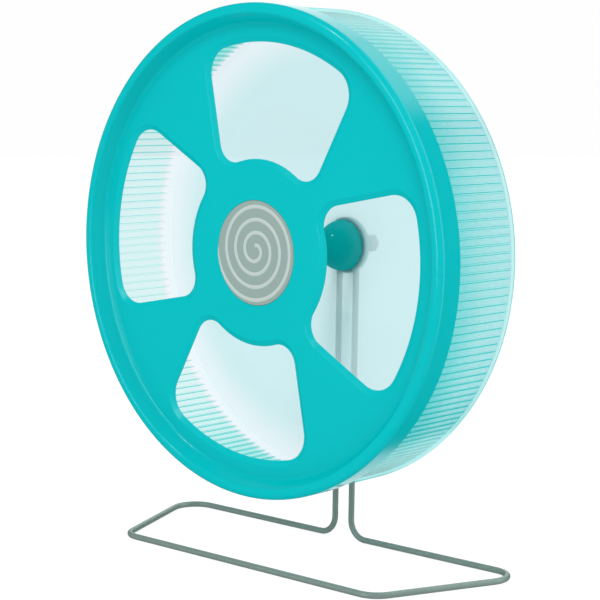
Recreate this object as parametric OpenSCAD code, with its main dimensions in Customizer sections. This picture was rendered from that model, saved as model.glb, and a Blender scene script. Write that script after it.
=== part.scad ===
// Rodent exercise wheel on a bent wire stand, in millimetres.
// The wheel's axle runs along Y and its open-fronted face looks along -Y.
// Pieces that turn are drawn in axle space: its Z is the way along the axle,
// measured from the flat face of the front panel, and on_axle() places it.

/* [Front panel] */
// Outer diameter of the wheel, over the panel's skirt
wheel_d = 280; // [240:1:330]
// Thickness of the moulded panel
panel_t = 2.0; // [1.6:0.1:2.4]
// Thickness of the skirt round the drum
skirt_t = 1.8; // [1.4:0.1:2.2]
// How far the raised rim stands in front of the flat face
rim_rise = 8.3; // [6:0.1:12]
// Width of the rim's nearly flat crest
rim_crest_w = 6.0; // [5:0.1:8]
// How far the rim's inner slope leans outwards, from crease to crest
rim_slope_w = 4.0; // [1:0.1:5]
// How far the skirt reaches behind the flat face
skirt_back = 8.2; // [5:0.1:14]
// How far the crest falls back towards its outer edge
crest_fall = 0.3; // [0:0.1:0.8]
// Rounding of the rim's two front edges
rim_edge_r = 1.2; // [0.6:0.1:1.6]
// Rounding of the crease between the flat face and the rim's slope
crease_round = 4.0; // [1:0.1:5]

/* [Windows] */
// Number of windows in the front panel
window_count = 4; // [3:1:4]
// Turn of the first window below the horizontal, at rest
window_turn = 9.7; // [0:0.1:45]
// Width of the panel's ring outside the windows, from crease to window
outer_ring_w = 11.5; // [8:0.1:20]
// Radius of the panel's hub inside the windows
window_inner_r = 53.2; // [46:0.1:56]
// Radius of the windows' two inner lobes
lobe_r = 12; // [9:0.5:13]
// Angle from a window's centre line to the centre of a lobe
lobe_angle = 25.2; // [22:0.1:27]
// Splay of a window's straight sides from its centre line
side_splay = 20; // [15:0.5:22]
// Radius of the windows' two outer corners
corner_r = 15; // [10:0.5:16]
// Width of the bevelled lip round each window
lip_w = 3.3; // [1:0.1:4]
// Depth of the bevelled lip
lip_depth = 1.3; // [0.5:0.1:1.5]

/* [Centre badge] */
// Diameter of the grey disc
badge_d = 59.7; // [40:0.1:70]
// Thickness of the grey disc
badge_t = 1.0; // [0.9:0.1:1.6]
// Depth of the recess that takes the disc
badge_recess = 0.8; // [0.4:0.1:0.9]
// Width of the spiral line
spiral_w = 2.2; // [1.5:0.1:3]
// Growth of the spiral in one turn
spiral_pitch = 7.4; // [5:0.05:9]
// Turns of the spiral
spiral_turns = 3.75; // [2:0.25:5]
// Radius at which the spiral starts
spiral_start_r = 2.6; // [1:0.1:4]
// Height of the spiral's centre above the disc's centre
spiral_rise = 1.6; // [0:0.1:4]
// Height of the spiral line above the disc
spiral_h = 0.25; // [0.2:0.05:0.5]

/* [Drum] */
// Thickness of the drum's running wall
drum_t = 1.9; // [1.5:0.1:2.5]
// Step from the spigot inside the skirt out to the drum's outer wall
drum_step = 0.55; // [0.3:0.05:1.2]
// Thickness of the drum's back wall
back_t = 2.0; // [1.6:0.1:2.6]
// How far the drum's outer edge reaches behind the flat face
drum_back = 61.2; // [45:0.1:75]
// Rounding of the drum's outer rear edge
drum_edge_r = 5.7; // [4:0.1:8]
// Rounding between the running wall and the back wall, on the inside
drum_inner_r = 5.0; // [0.8:0.1:6]
// Radius of the ring where the back wall starts to dish
dish_r = 100; // [80:1:115]
// How far the back wall falls back between the drum's edge and that ring
dish_fall = 0.8; // [0.4:0.1:1.5]
// Number of grip ribs on the running surface
rib_count = 186; // [120:1:200]
// Width of one rib
rib_w = 1.3; // [0.8:0.1:1.8]
// Height of one rib
rib_h = 0.7; // [0.4:0.1:1.0]
// Angle of the first rib above the horizontal
rib_phase = 40.82; // [0:0.01:90]
// Width of a rib's top, as a share of its foot
rib_top_share = 0.8; // [0.5:0.05:1]
// How far the ribs stop short of the inside rounding at the back wall
rib_stop = 0.2; // [0.2:0.1:20]

/* [Hub and bearings] */
// Radius of the domed bearing housing
dome_r = 15.2; // [14.9:0.1:20]
// Plane where the dome meets the back wall, behind the flat face
hub_y = 74.8; // [68:0.1:85]
// Thickness of the back wall at the hub
hub_wall_t = 1.6; // [1.4:0.1:2.4]
// Diameter of the axle
axle_d = 6; // [5:0.1:6]
// Outer diameter of each ball bearing
bearing_d = 15; // [15:0.1:16]
// Width of each ball bearing
bearing_w = 5; // [4.5:0.1:5]
// Width of the spacers between the two bearings
bearing_gap = 1; // [1:0.1:1.8]
// Diameter of one ball
ball_d = 2.38; // [2.0:0.01:2.5]
// Balls in each bearing
ball_count = 8; // [6:1:9]
// Number of screws that hold the dome to the back wall
screw_count = 3; // [3:1:5]
// Diameter of those screws
screw_d = 2.6; // [2.2:0.1:2.8]
// Length of those screws
screw_l = 7.0; // [5:0.1:7]
// Length and width of the slot in a screw's head
screw_slot_l = 2.4; // [1.6:0.1:3]
screw_slot_w = 0.5; // [0.3:0.1:0.8]
// Radius of the circle that the screws stand on
screw_circle_r = 11.6; // [11.2:0.1:12]

/* [Axle holder] */
// Gap between the turning back wall and the holder
holder_gap = 0.8; // [0.5:0.1:2]
// Radius of the holder's front rim
holder_r = 16.8; // [15:0.1:18]
// Length of the holder's cylindrical front band
holder_band = 2.6; // [2.4:0.1:5]
// Length of the holder's cone
holder_cone = 12; // [9:0.1:14]
// Length of the holder's neck behind the cone
neck_l = 3.7; // [2:0.1:8]
// Radius of the holder's neck
neck_r = 4.6; // [4.4:0.1:6]
// Rounding of the holder's front rim, of its shoulder and of its neck
holder_rim_round = 0.8; // [0.4:0.1:1.2]
shoulder_round = 1.5; // [0.5:0.1:3]
neck_round = 2.5; // [1:0.1:4]
// Thickness of the washer behind the neck
washer_t = 0.8; // [0.6:0.1:1.6]
// Width across the flats of the end nut
nut_af = 10; // [9:0.1:11]
// Length of the end nut, with its low dome
nut_l = 8.2; // [7:0.1:10]

/* [Wire stand] */
// Diameter of the wire
wire_d = 3.6; // [3:0.1:4]
// Height of the axle above the floor
axle_height = 179.3; // [170:0.1:210]
// Distance between the two uprights
upright_gap = 13; // [12.6:0.1:14]
// How far the back rail lies behind the flat face
rail_y = 75.7; // [74:0.1:80]
// How far the uprights lean backwards from the floor to the axle
upright_lean = 4.3; // [4.2:0.1:8]
// How far the uprights reach above the axle
upright_top = 8; // [4:0.1:9]
// How far the front rail lies in front of the flat face
front_y = 12.25; // [9:0.05:40]
// Half length of the front rail, to its corner
front_half = 99.1; // [80:0.1:120]
// Half length of the back rail, to its corner
back_half = 137.4; // [120:0.1:160]
// Bend radius at the corners of the floor loop
corner_bend_r = 14; // [8:0.5:24]
// Bend radius at the feet of the uprights
foot_bend_r = 11; // [6:0.5:16]
// Thickness of the plate between the uprights
plate_t = 1.2; // [0.8:0.1:2]
// Height of that plate
plate_h = 33; // [15:1:60]
// Distance from the axle down to the plate's top edge
plate_drop = 41; // [22:1:80]

/* [Hidden] */

// Clearances that the fits share
fit_gap = 0.05;
skirt_gap = 0.1;
seat_gap = 0.5;
race_gap = 0.02;
run_gap = 0.4;
// Reach of a cutting tool past the face that it cuts
past = 1;
// Depth at which the rolled lip starts
lip_start = 0.03;
lip_step = 22.5;
// Angle left out where two arcs of an outline share a tangent
shared_turn = 8;
// How far one turned cut reaches over the next, and stays clear of a wall
cut_lap = 0.1;
cut_clear = 0.15;
full_turn = 360;
half_turn = 180;
quarter_turn = 90;
round_fn = 128;
wire_fn = 48;

// Panel, drum and window radii
wheel_r = wheel_d / 2;
skirt_in_r = wheel_r - skirt_t;
crest_r = wheel_r - rim_crest_w;
crease_r = crest_r - rim_slope_w;
slope_angle = atan2(rim_slope_w, rim_rise);
drum_out_r = skirt_in_r + drum_step;
spigot_r = skirt_in_r - skirt_gap;
run_r = drum_out_r - drum_t;
drum_inside_y = drum_back - back_t;
rib_back = drum_inside_y - drum_inner_r - rib_stop;
dish_round = 20;
spigot_front = rim_rise - panel_t - seat_gap;
window_outer_r = crease_r - outer_ring_w;
lobe_c = window_inner_r + lobe_r;
side_off = lobe_c * sin(lobe_angle - side_splay) + lobe_r;
corner_c = window_outer_r - corner_r;
corner_angle = side_splay + asin((side_off - corner_r) / corner_c);
side_angle = side_splay + quarter_turn;
badge_r = badge_d / 2;
spiral_step = 9;

// Places along the axle
hub_back_y = hub_y + hub_wall_t;
holder_y = hub_back_y + holder_gap;
neck_end_y = holder_y + holder_band + holder_cone + neck_l;
nut_y = neck_end_y + washer_t;
nut_end_y = nut_y + nut_l;
nut_hex_l = nut_l * 2 / 3;
rear_bearing_y = hub_y - bearing_w;
front_bearing_y = rear_bearing_y - bearing_gap - bearing_w;
ring_t = 0.7;
ring_y = front_bearing_y - ring_t;
axle_lead = 0.5;
nut_cap_t = 2.5;
axle_front_y = ring_y - axle_lead;
axle_end_y = nut_end_y - nut_cap_t;
hub_land = 2;
hub_flat_r = dome_r + hub_land;

// Bearing radii
axle_r = axle_d / 2;
bearing_r = bearing_d / 2;
ball_r = ball_d / 2;
ball_c = (axle_r + bearing_r) / 2;
groove_r = ball_r + race_gap;
race_share = 0.45;
race_land = race_share * ball_d;
inner_race_r = ball_c - race_land;
outer_race_r = ball_c + race_land;
shield_t = 0.3;
shield_gap = 0.15;
shield_r = inner_race_r + shield_gap;
shield_seat = 0.25;
shield_step = 0.3;
shield_out_r = outer_race_r + shield_step;
cage_share = 0.45;
cage_t = cage_share * (outer_race_r - inner_race_r);
cage_rim = 0.3;
cage_l = ball_d + 2 * cage_rim;
race_stop = 1.1;
cavity_r = bearing_r - race_stop;
bush_t = 1.2;
bush_r = axle_r + bush_t;
hub_hole_gap = 1.2;
hub_hole_r = bush_r + hub_hole_gap;
screw_head_over = 1.0;
screw_head_r = screw_d / 2 + screw_head_over;
slot_depth = 0.8;
groove_depth = 0.3;
ring_w = 1.6;
ring_mouth = 1.6;
washer_over = 0.5;
nut_top_in = 0.2;
nut_end_gap = 0.3;

// Stand; the straight runs are drawn down a hair, so they slip into the bends
wire_r = wire_d / 2;
draw_down = 0.03;
bend_overlap = 0.6;
floor_z = wire_r - axle_height;
upright_x = upright_gap / 2;
lean_angle = atan2(upright_lean, -floor_z);
upright_end = [upright_x, rail_y + upright_lean * (upright_top - floor_z) / -floor_z, upright_top];
wire_corners = [
    upright_end,
    [upright_x, rail_y, floor_z],
    [back_half, rail_y, floor_z],
    [front_half, -front_y, floor_z],
    [-front_half, -front_y, floor_z],
    [-back_half, rail_y, floor_z],
    [-upright_x, rail_y, floor_z],
    [-upright_x, upright_end[1], upright_end[2]]
];
bend_radii = [
    0, foot_bend_r, corner_bend_r, corner_bend_r,
    corner_bend_r, corner_bend_r, foot_bend_r, 0
];

// The origin is on the floor, under the middle of the whole part
whole_front = min(-rim_rise, -front_y - wire_r);
whole_back = max(nut_end_y, rail_y + wire_r);
shift_y = -(whole_front + whole_back) / 2;

panel_colour = [0.0, 0.75, 0.76];
drum_colour = [0.72, 0.93, 0.92, 0.6];
housing_colour = [0.0, 0.56, 0.55];
holder_colour = [0.0, 0.66, 0.66];
wire_colour = [0.40, 0.44, 0.42];
badge_colour = [0.66, 0.71, 0.69];
steel_colour = [0.75, 0.76, 0.78];
brass_colour = [0.78, 0.66, 0.38];

function unit(v) = v / norm(v);

// Points of an arc that rounds corner b between a and c
function rounded(a, b, c, r, n = 6) =
    let (
        u = unit(a - b),
        v = unit(c - b),
        half = acos(u * v) / 2,
        centre = b + unit(u + v) * r / sin(half),
        from = b + u * r / tan(half) - centre,
        to = b + v * r / tan(half) - centre,
        start = atan2(from[1], from[0]),
        turn = atan2(from[0] * to[1] - from[1] * to[0], from * to)
    )
    [for (i = [0:n]) centre + r * [cos(start + turn * i / n), sin(start + turn * i / n)]];

module on_floor() {
    translate([0, shift_y, axle_height]) children();
}

module on_axle() {
    on_floor() rotate([-90, 0, 0]) children();
}

module lathe(points) {
    rotate_extrude($fn = round_fn) polygon(points);
}

// A ring in axle space from y0, as long as l
module ring(y0, l, r_in, r_out) {
    translate([0, 0, y0]) difference() {
        cylinder(h = l, r = r_out, $fn = round_fn);
        translate([0, 0, -past]) cylinder(h = l + 2 * past, r = r_in, $fn = round_fn);
    }
}

// Points of an arc about centre c, from angle a0 to angle a1
function arc(c, r, a0, a1, n) = [for (i = [0:n]) c + r * dir(a0 + (a1 - a0) * i / n)];

function dir(a) = [cos(a), sin(a)];

// The upper half of a window's outline, moved out by grow, from the outer arc
// round the corner and the lobe to the hub's arc
function half_window(grow) = concat(
    arc([0, 0], window_outer_r + grow, 0, corner_angle, 9),
    arc(corner_c * dir(corner_angle), corner_r + grow, corner_angle + shared_turn, side_angle, 7),
    arc(lobe_c * dir(lobe_angle), lobe_r + grow, side_angle, lobe_angle + half_turn - shared_turn, 9),
    arc([0, 0], window_inner_r - grow, lobe_angle, 0, 8)
);

// The whole outline, with the lower half mirrored and the two shared points left out
function window_outline(grow) =
    let (upper = half_window(grow))
    concat(upper, [for (i = [len(upper) - 2:-1:1]) [upper[i][0], -upper[i][1]]]);

// Each ring of the window cutter as [depth, grow]: straight in front, round the
// rolled lip, then straight out at the back
lip_rings = concat(
    [[-past, lip_w]],
    [for (t = [0:lip_step:quarter_turn]) [lip_depth * (1 - cos(t)) + lip_start, lip_w * (1 - sin(t))]],
    [[panel_t + past, 0]]
);

module window_cutter() {
    n = len(window_outline(0));
    rings = len(lip_rings);
    polyhedron(
        points = [for (k = lip_rings, q = window_outline(k[1])) [q[0], q[1], k[0]]],
        faces = concat(
            [[for (i = [0:n - 1]) i]],
            [
                for (k = [0:rings - 2], i = [0:n - 1])
                    [k * n + i, (k + 1) * n + i, (k + 1) * n + (i + 1) % n, k * n + (i + 1) % n]
            ],
            [[for (i = [n - 1:-1:0]) (rings - 1) * n + i]]
        )
    );
}

module front_panel() {
    crease = [crease_r, 0];
    crest = [crest_r, -rim_rise];
    outer = [wheel_r, -rim_rise + crest_fall];
    slope_back = panel_t / cos(slope_angle) - panel_t * tan(slope_angle);
    color(panel_colour) on_axle() difference() {
        lathe(concat(
            [[0, panel_t], [0, badge_recess], [badge_r + skirt_gap, badge_recess]],
            [[badge_r + skirt_gap, 0]],
            rounded([0, 0], crease, crest, crease_round),
            rounded(crease, crest, outer, rim_edge_r),
            rounded(crest, outer, [wheel_r, skirt_back], rim_edge_r),
            [[wheel_r, skirt_back], [skirt_in_r, skirt_back]],
            [[skirt_in_r, -rim_rise + panel_t], [crest_r + slope_back, -rim_rise + panel_t]],
            [[crease_r + slope_back, panel_t]]
        ));
        for (i = [0:window_count - 1])
            rotate(window_turn + i * full_turn / window_count) window_cutter();
    }
}

// Points along one edge of the spiral line, set off from its middle
function spiral_edge(off) = [
    for (t = [0:spiral_step:spiral_turns * full_turn])
        (spiral_start_r + spiral_pitch * t / full_turn + off) * [sin(t), -cos(t)]
];

function reversed(list) = [for (i = [len(list) - 1:-1:0]) list[i]];

module spiral_line() {
    intersection() {
        translate([0, -spiral_rise]) union() {
            polygon(concat(spiral_edge(spiral_w / 2), reversed(spiral_edge(-spiral_w / 2))));
            translate([0, -spiral_start_r]) circle(r = spiral_w / 2, $fn = wire_fn);
        }
        circle(r = badge_r - skirt_gap, $fn = round_fn);
    }
}

module centre_badge() {
    color(badge_colour) on_axle() union() {
        translate([0, 0, badge_recess - badge_t]) cylinder(h = badge_t, r = badge_r, $fn = round_fn);
        translate([0, 0, badge_recess - badge_t - spiral_h])
            linear_extrude(spiral_h + badge_t / 2) spiral_line();
    }
}

// The toothed outline of the space inside the ribs
module ribbed_bore() {
    pitch = full_turn / rib_count;
    half_root = rib_w / 2 / run_r * half_turn / PI;
    half_tip = rib_top_share * half_root;
    polygon([
        for (i = [0:rib_count - 1], k = [0:3])
            let (
                a = -rib_phase + i * pitch + [-half_root, -half_tip, half_tip, half_root][k],
                r = run_r - (k == 1 || k == 2 ? rib_h : 0)
            )
            r * [cos(a), sin(a)]
    ]);
}

module drum() {
    smooth_r = run_r + cut_clear;
    step_y = skirt_back - cut_lap;
    edge = [drum_out_r, drum_back];
    dish = [dish_r, drum_back + dish_fall];
    hub = [hub_flat_r, hub_back_y];
    edge_in = [smooth_r, drum_inside_y];
    dish_in = [dish_r, drum_inside_y + dish_fall];
    hub_in = [hub_flat_r, hub_y];
    color(drum_colour) on_axle() difference() {
        lathe(concat(
            [[0, -spigot_front], [spigot_r, -spigot_front]],
            [[spigot_r, step_y], [drum_out_r, step_y + 2 * cut_lap]],
            rounded([drum_out_r, 0], edge, dish, drum_edge_r, 8),
            rounded(edge, dish, hub, dish_round, 4),
            [hub, [0, hub_back_y]]
        ));
        translate([0, 0, -spigot_front]) linear_extrude(rib_back + spigot_front) ribbed_bore();
        lathe(concat(
            [[0, rib_back - cut_lap], [smooth_r, rib_back - cut_lap]],
            rounded([smooth_r, 0], edge_in, dish_in, drum_inner_r, 6),
            rounded(edge_in, dish_in, hub_in, dish_round, 4),
            [hub_in, [0, hub_y]]
        ));
        translate([0, 0, -spigot_front - past])
            cylinder(h = spigot_front + skirt_back / 2, r = smooth_r, $fn = round_fn);
        translate([0, 0, hub_y - past]) cylinder(h = 3 * past + hub_wall_t, r = hub_hole_r, $fn = wire_fn);
        at_screws() screw_shape(fit_gap);
    }
}

module at_screws() {
    for (i = [0:screw_count - 1])
        rotate(quarter_turn + i * full_turn / screw_count)
            translate([screw_circle_r, 0, hub_back_y]) children();
}

// A countersunk screw whose head's flat is at 0, pointing towards the front
module screw_shape(gap) {
    head_l = screw_head_r - screw_d / 2;
    translate([0, 0, -screw_l - gap])
        cylinder(h = screw_l + gap, r = screw_d / 2 + gap, $fn = wire_fn);
    translate([0, 0, -head_l])
        cylinder(h = head_l, r1 = screw_d / 2 + gap, r2 = screw_head_r + gap, $fn = wire_fn);
}

module housing_screws() {
    color(steel_colour) on_axle() at_screws() difference() {
        screw_shape(0);
        for (a = [0, quarter_turn])
            rotate(a) translate([-screw_slot_l / 2, -screw_slot_w / 2, -slot_depth])
                cube([screw_slot_l, screw_slot_w, slot_depth + past]);
    }
}

module bearing_housing() {
    cavity_front = axle_front_y - run_gap;
    color(housing_colour) on_axle() difference() {
        translate([0, 0, hub_y]) sphere(r = dome_r, $fn = round_fn);
        translate([-2 * dome_r, -2 * dome_r, hub_y]) cube(4 * dome_r);
        translate([0, 0, front_bearing_y])
            cylinder(h = hub_y - front_bearing_y + past, r = bearing_r, $fn = round_fn);
        translate([0, 0, cavity_front])
            cylinder(h = front_bearing_y - cavity_front + past, r = cavity_r, $fn = round_fn);
        at_screws() screw_shape(fit_gap);
    }
}

// One bearing's outer race, starting at y0, with seats for two shields
module outer_race(y0) {
    color(steel_colour) on_axle() difference() {
        ring(y0, bearing_w, outer_race_r, bearing_r - race_gap);
        ball_groove(y0);
        for (y = [y0 - past, y0 + bearing_w - shield_seat - shield_t])
            translate([0, 0, y])
                cylinder(h = past + shield_seat + shield_t, r = shield_out_r, $fn = round_fn);
    }
}

module inner_race(y0) {
    color(steel_colour) on_axle() difference() {
        ring(y0, bearing_w, axle_r + race_gap, inner_race_r);
        ball_groove(y0);
    }
}

// The round channel that the balls of the bearing at y0 run in
module ball_groove(y0) {
    translate([0, 0, y0 + bearing_w / 2])
        rotate_extrude($fn = round_fn) translate([ball_c, 0]) circle(r = groove_r, $fn = wire_fn);
}

module at_balls(y0) {
    for (i = [0:ball_count - 1])
        rotate(i * full_turn / ball_count) translate([ball_c, 0, y0 + bearing_w / 2]) children();
}

module balls(y0) {
    color(steel_colour) on_axle() at_balls(y0) sphere(r = ball_r, $fn = wire_fn);
}

module ball_cage(y0) {
    color(brass_colour) on_axle() difference() {
        ring(y0 + (bearing_w - cage_l) / 2, cage_l, ball_c - cage_t / 2, ball_c + cage_t / 2);
        at_balls(y0) rotate([0, 90, 0])
            cylinder(h = 2 * ball_r, r = ball_r + race_gap, center = true, $fn = wire_fn);
    }
}

module bearing_shields() {
    color(steel_colour) on_axle() for (y0 = [front_bearing_y, rear_bearing_y]) {
        ring(y0 + shield_seat, shield_t, shield_r, shield_out_r - race_gap);
        ring(y0 + bearing_w - shield_seat - shield_t, shield_t, shield_r, shield_out_r - race_gap);
    }
}

module outer_race_spacer() {
    color(steel_colour) on_axle()
        ring(rear_bearing_y - bearing_gap, bearing_gap, cavity_r, bearing_r - race_gap);
}

module inner_race_spacer() {
    color(steel_colour) on_axle()
        ring(rear_bearing_y - bearing_gap, bearing_gap, axle_r + race_gap, inner_race_r);
}

module rear_bush() {
    color(brass_colour) on_axle() ring(hub_y, holder_y - hub_y, axle_r + race_gap, bush_r);
}

module retaining_ring() {
    color(steel_colour) on_axle() difference() {
        ring(ring_y, ring_t, axle_r - groove_depth + race_gap, axle_r + ring_w);
        translate([axle_r - past, -ring_mouth / 2, ring_y - past])
            cube([ring_w + 2 * past, ring_mouth, ring_t + 2 * past]);
    }
}

module axle() {
    color(steel_colour) on_axle() difference() {
        translate([0, 0, axle_front_y])
            cylinder(h = axle_end_y - axle_front_y, r = axle_r, $fn = wire_fn);
        ring(ring_y, ring_t, axle_r - groove_depth, axle_r + past);
    }
}

// The two straight holes that take the upright ends of the wire
module upright_bores() {
    for (x = [-upright_x, upright_x]) {
        foot = [x, rail_y, floor_z];
        top = [x, upright_end[1], upright_end[2]];
        rod(foot, top + run_gap * unit(top - foot), wire_r + fit_gap);
    }
}

module axle_holder() {
    cone_y = holder_y + holder_band;
    neck_y = cone_y + holder_cone;
    profile = concat(
        [[0, holder_y]],
        rounded([0, holder_y], [holder_r, holder_y], [holder_r, cone_y], holder_rim_round),
        rounded([holder_r, holder_y], [holder_r, cone_y], [neck_r, neck_y], shoulder_round),
        rounded([holder_r, cone_y], [neck_r, neck_y], [neck_r, neck_end_y], neck_round),
        [[neck_r, neck_end_y], [0, neck_end_y]]
    );
    color(holder_colour) difference() {
        on_axle() lathe(profile);
        on_axle() translate([0, 0, holder_y - past])
            cylinder(h = neck_end_y - holder_y + 2 * past, r = axle_r + race_gap, $fn = wire_fn);
        on_floor() upright_bores();
    }
}

module nut_washer() {
    color(steel_colour) on_axle() ring(neck_end_y, washer_t, axle_r + race_gap, nut_af / 2 + washer_over);
}

module end_nut() {
    dome_top_r = nut_af / 2 - nut_top_in;
    dome_h = nut_l - nut_hex_l;
    ball_big_r = (dome_top_r * dome_top_r + dome_h * dome_h) / (2 * dome_h);
    color(steel_colour) on_axle() difference() {
        union() {
            translate([0, 0, nut_y]) cylinder(h = nut_hex_l, d = nut_af / cos(30), $fn = 6);
            intersection() {
                translate([0, 0, nut_y + nut_hex_l - past])
                    cylinder(h = dome_h + past, r = dome_top_r, $fn = wire_fn);
                translate([0, 0, nut_end_y - ball_big_r]) sphere(r = ball_big_r, $fn = wire_fn);
            }
        }
        translate([0, 0, nut_y - past])
            cylinder(h = axle_end_y + nut_end_gap - nut_y + past, r = axle_r + race_gap, $fn = wire_fn);
    }
}

// A straight round bar from a to b
module rod(a, b, r) {
    d = b - a;
    translate(a)
        rotate([0, acos(d[2] / norm(d)), atan2(d[1], d[0])])
        cylinder(h = norm(d), r = r, $fn = wire_fn);
}

// Half of the angle between the two runs that meet at corner i
function half_angle(p, i) = acos(unit(p[i - 1] - p[i]) * unit(p[i + 1] - p[i])) / 2;

// How much of each run the bend at corner i takes up
function cut_back(p, radii, i) =
    i == 0 || i == len(p) - 1 ? 0 : radii[i] / tan(half_angle(p, i));

// The bend at corner i, a part of a torus that is tangent to both runs
module bend(p, radii, i, r) {
    u = unit(p[i - 1] - p[i]);
    v = unit(p[i + 1] - p[i]);
    half = half_angle(p, i);
    centre = p[i] + unit(u + v) * radii[i] / sin(half);
    from = unit(p[i] + u * cut_back(p, radii, i) - centre);
    axis = unit(cross(v, u));
    side = cross(axis, from);
    multmatrix([
        [from[0], side[0], axis[0], centre[0]],
        [from[1], side[1], axis[1], centre[1]],
        [from[2], side[2], axis[2], centre[2]],
        [0, 0, 0, 1]
    ])
        rotate_extrude(angle = half_turn - 2 * half, $fn = round_fn)
        translate([radii[i], 0]) circle(r = r, $fn = wire_fn);
}

module wire_stand() {
    p = wire_corners;
    color(wire_colour) on_floor() union() {
        for (i = [0:len(p) - 2]) {
            along = unit(p[i + 1] - p[i]);
            rod(
                p[i] + along * (cut_back(p, bend_radii, i) - (i == 0 ? 0 : bend_overlap)),
                p[i + 1] - along * (cut_back(p, bend_radii, i + 1) - (i == len(p) - 2 ? 0 : bend_overlap)),
                wire_r - draw_down
            );
        }
        for (i = [1:len(p) - 2]) bend(p, bend_radii, i, wire_r);
    }
}

module bridge_plate() {
    width = upright_gap - wire_d - 2 * race_gap;
    color(wire_colour) on_floor()
        translate([0, rail_y, floor_z])
        rotate([-lean_angle, 0, 0])
        translate([-width / 2, -plate_t / 2, -floor_z - plate_drop - plate_h])
        cube([width, plate_t, plate_h]);
}

front_panel();
centre_badge();
drum();
bearing_housing();
housing_screws();
outer_race(front_bearing_y);  // front_outer_race
outer_race(rear_bearing_y);  // rear_outer_race
outer_race_spacer();
bearing_shields();
ball_cage(front_bearing_y);  // front_ball_cage
balls(front_bearing_y);  // front_balls
ball_cage(rear_bearing_y);  // rear_ball_cage
balls(rear_bearing_y);  // rear_balls
wire_stand();
bridge_plate();
axle_holder();
axle();
retaining_ring();
inner_race(front_bearing_y);  // front_inner_race
inner_race(rear_bearing_y);  // rear_inner_race
inner_race_spacer();
rear_bush();
nut_washer();
end_nut();
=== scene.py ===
# %% [markdown]
# # A running wheel for small rodents, on a wire stand
#
# The wheel has a turquoise front moulding with four windows, a mint translucent
# drum with fine grip ribs, a glossy hub, and a stand bent from one steel wire.
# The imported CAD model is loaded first. It fixes the outer sizes and every place.
# New pieces are modelled to it with the same operators that one would use by hand
# in edit mode, and some small roundings are set here for the look.

# %% Load the frame
import math

import bmesh
import bpy
from mathutils import Matrix, Vector


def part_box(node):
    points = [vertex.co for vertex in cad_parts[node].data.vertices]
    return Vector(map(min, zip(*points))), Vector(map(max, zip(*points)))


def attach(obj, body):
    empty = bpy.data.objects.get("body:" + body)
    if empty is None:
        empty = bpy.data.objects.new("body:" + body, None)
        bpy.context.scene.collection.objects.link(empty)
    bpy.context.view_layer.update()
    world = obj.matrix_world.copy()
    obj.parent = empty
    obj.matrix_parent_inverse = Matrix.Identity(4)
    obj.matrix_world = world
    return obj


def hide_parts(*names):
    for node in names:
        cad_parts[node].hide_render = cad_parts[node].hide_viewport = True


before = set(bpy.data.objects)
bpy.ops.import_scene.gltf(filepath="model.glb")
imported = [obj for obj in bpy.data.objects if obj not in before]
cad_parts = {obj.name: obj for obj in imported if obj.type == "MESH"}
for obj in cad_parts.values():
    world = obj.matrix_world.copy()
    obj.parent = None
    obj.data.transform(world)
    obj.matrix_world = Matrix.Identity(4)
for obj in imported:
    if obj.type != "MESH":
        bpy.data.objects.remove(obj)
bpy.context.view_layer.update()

# %% [markdown]
# ## Sizes that the pieces share
#
# The axle runs along Y. A place "along the axle" is measured from the flat face
# of the front panel, positive towards the back. The frame gives the outer radius
# and where the panel starts and ends. The other sizes are small ones that belong
# to the look of the mouldings, in metres.

# %% Shared sizes
MM = 0.001
panel_low, panel_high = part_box("front_panel")
badge_low, badge_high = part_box("centre_badge")
AXLE_Z = (panel_low.z + panel_high.z) / 2
WHEEL_R = panel_high.z - AXLE_Z
BADGE_R = (badge_high.x - badge_low.x) / 2
SKIRT_BACK = 8.2 * MM
FACE_Y = panel_high.y - SKIRT_BACK
SKIRT_T = 1.8 * MM
PANEL_T = 2.0 * MM
RIM_RISE = 8.3 * MM
CREST_R = WHEEL_R - 6.0 * MM
CREASE_R = CREST_R - 4.5 * MM
WINDOW_OUTER_R = CREASE_R - 11.0 * MM
WINDOW_INNER_R = 53.2 * MM
WINDOW_COUNT = 4
WINDOW_TURN = math.radians(-9.7)
print("wheel radius", round(WHEEL_R, 4), "axle height", round(AXLE_Z, 4))
print("face at", round(FACE_Y, 4), "badge radius", round(BADGE_R, 4))


# %% [markdown]
# ## Helpers for working as by hand
#
# An operator acts on everything that is selected, so each step starts by
# deselecting all. Faces and edges are then picked in code, by place or normal.

# %% Selection helpers
def deselect_all():
    """Leaves edit mode and clears the selection."""
    if bpy.context.object and bpy.context.object.mode != "OBJECT":
        bpy.ops.object.mode_set(mode="OBJECT")
    bpy.ops.object.select_all(action="DESELECT")


def make_active(piece):
    """Selects one object alone and makes it the active one."""
    deselect_all()
    piece.select_set(True)
    bpy.context.view_layer.objects.active = piece


def select_where(piece, kind, test):
    """In edit mode, selects only the vertices, edges or faces that pass the test."""
    mesh = bmesh.from_edit_mesh(piece.data)
    for items in (mesh.verts, mesh.edges, mesh.faces):
        for item in items:
            item.select = False
    bpy.context.tool_settings.mesh_select_mode = (kind == "verts", kind == "edges", kind == "faces")
    for item in getattr(mesh, kind):
        if test(item):
            item.select_set(True)
    mesh.select_flush_mode()
    bmesh.update_edit_mesh(piece.data)


def apply_place(piece):
    """Moves the object's place into its mesh, so that the object sits at the origin."""
    make_active(piece)
    bpy.ops.object.transform_apply(location=True, rotation=True, scale=True)


def add_modifier(piece, kind, **settings):
    """Adds a modifier with its settings and applies it."""
    make_active(piece)
    modifier = piece.modifiers.new(kind.lower(), kind)
    for name, value in settings.items():
        setattr(modifier, name, value)
    bpy.ops.object.modifier_apply(modifier=modifier.name)


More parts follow.
